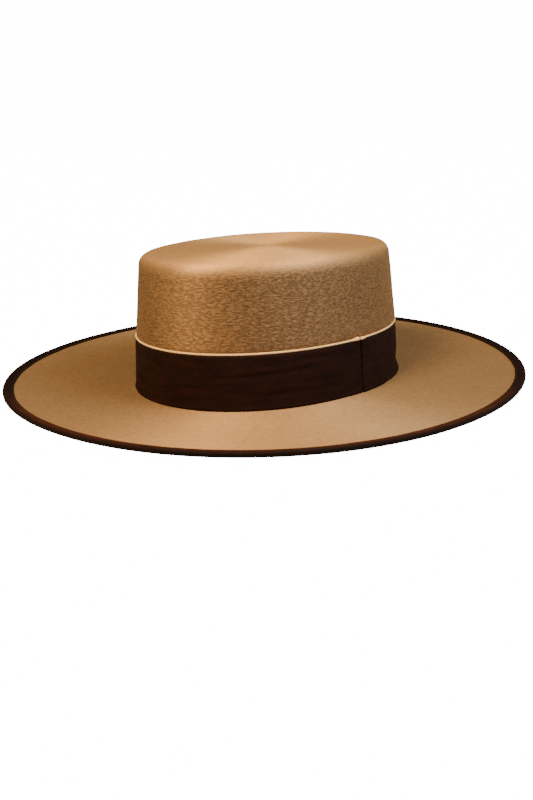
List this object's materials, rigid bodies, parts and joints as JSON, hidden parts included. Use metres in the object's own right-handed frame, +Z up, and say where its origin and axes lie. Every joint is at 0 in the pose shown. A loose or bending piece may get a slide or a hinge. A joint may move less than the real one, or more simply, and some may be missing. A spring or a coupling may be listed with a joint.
{
  "type": "gaucho hat",
  "caption": "Stiff felt hat with a low flat crown, a wide, almost flat, bound brim, a ribbon band lapped on the left and a thin edging cord along its top.",
  "frame": {"origin": "under the middle of the hat, on the surface that the flat ring round its head opening rests on", "axes": "+Z up through the crown, -Y the way the wearer looks, +X the wearer's left, where the band is lapped"},
  "size_m": [0.3566, 0.3786, 0.0925],
  "materials": {
    "felt": "camel fur felt, brushed nap",
    "band_ribbon": "dark brown grosgrain ribbon",
    "edging_cord": "cream twisted cord",
    "binding_ribbon": "dark brown grosgrain ribbon, folded and stitched"
  },
  "bodies": {
    "root": {"felt_body": "felt", "hat_band": "band_ribbon", "band_cord": "edging_cord", "brim_binding": "binding_ribbon"}
  },
  "joints": []
}
